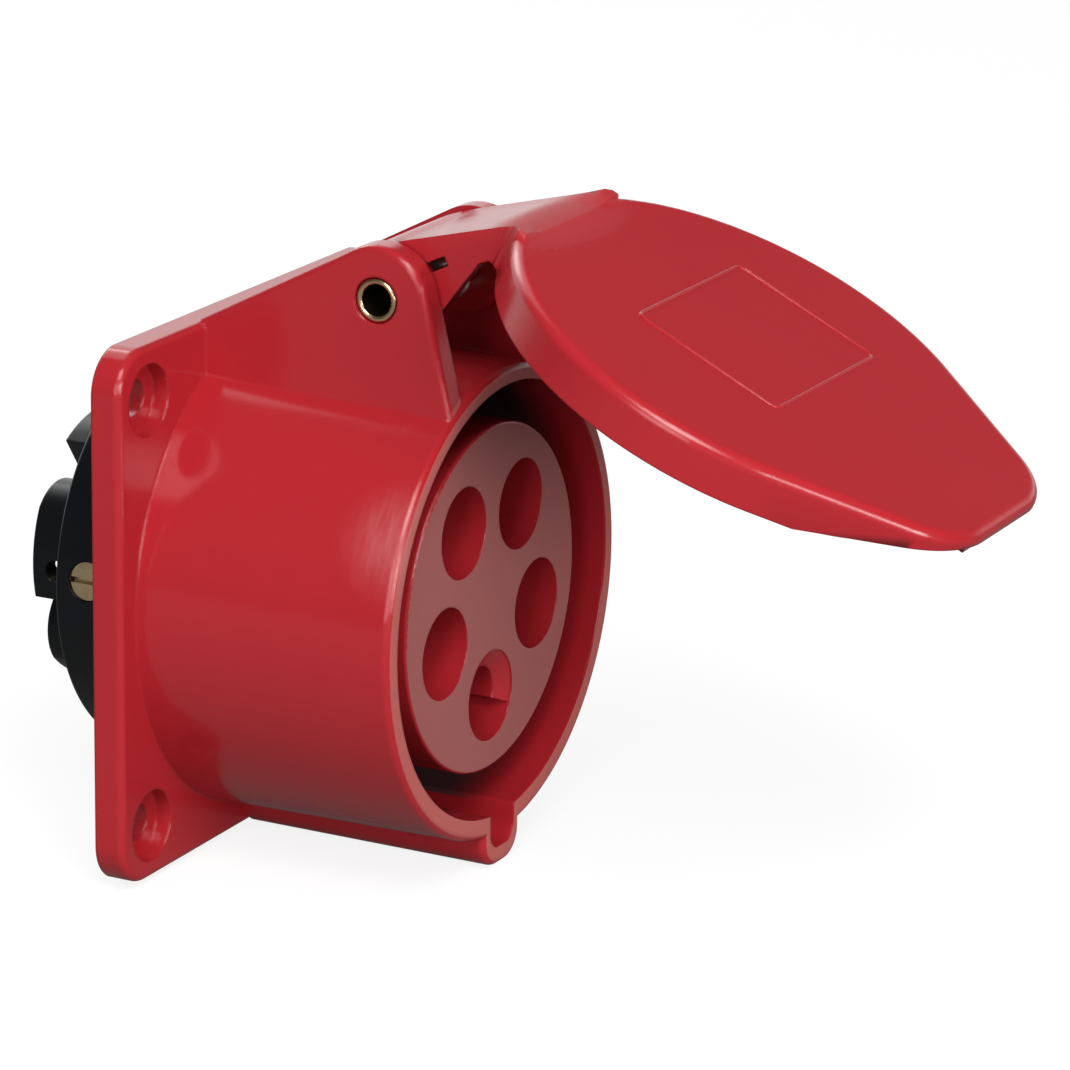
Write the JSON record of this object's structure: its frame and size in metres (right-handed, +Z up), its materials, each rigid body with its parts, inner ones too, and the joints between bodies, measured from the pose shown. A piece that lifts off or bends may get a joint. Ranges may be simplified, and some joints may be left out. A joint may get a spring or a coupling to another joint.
{
  "type": "industrial panel socket",
  "caption": "Square flange panel socket in red plastic with a round keyed collar, contact wells and a hinged lid standing open, black terminal block behind.",
  "frame": {"origin": "socket axis at the back face of the flange, which lies on the panel", "axes": "+Z up, towards the lid's hinge; the socket faces -Y; +Y goes into the panel; +X to the right as seen from the front"},
  "size_m": [0.075, 0.1368, 0.0939],
  "materials": {
    "red_plastic": "satin",
    "black_plastic": "satin",
    "brass": "satin",
    "steel": "satin",
    "rubber": "matte"
  },
  "bodies": {
    "socket": {"housing": "red_plastic", "contact_face": "red_plastic", "rear_carrier": "black_plastic", "hinge_rivet": "brass", "lid_spring": "steel", "terminal_screws": "brass", "clamp_plates": "steel", "carrier_screws": "steel", "contact_l1": "brass", "contact_l2": "brass", "contact_l3": "brass", "contact_n": "brass", "contact_e": "brass", "contact_ring_l1": "steel", "contact_ring_l2": "steel", "contact_ring_l3": "steel", "contact_ring_n": "steel", "contact_ring_e": "steel"},
    "cover": {"lid": "red_plastic", "lid_seal": "rubber"}
  },
  "joints": [
    {"name": "lid_hinge", "type": "hinge", "parent": "socket", "child": "cover", "pos_m": [0, -0.0307, 0.0439], "axis": [-1, 0, 0], "range_deg": [-63.7, 46.3], "deforming": ["lid_spring"]}
  ]
}
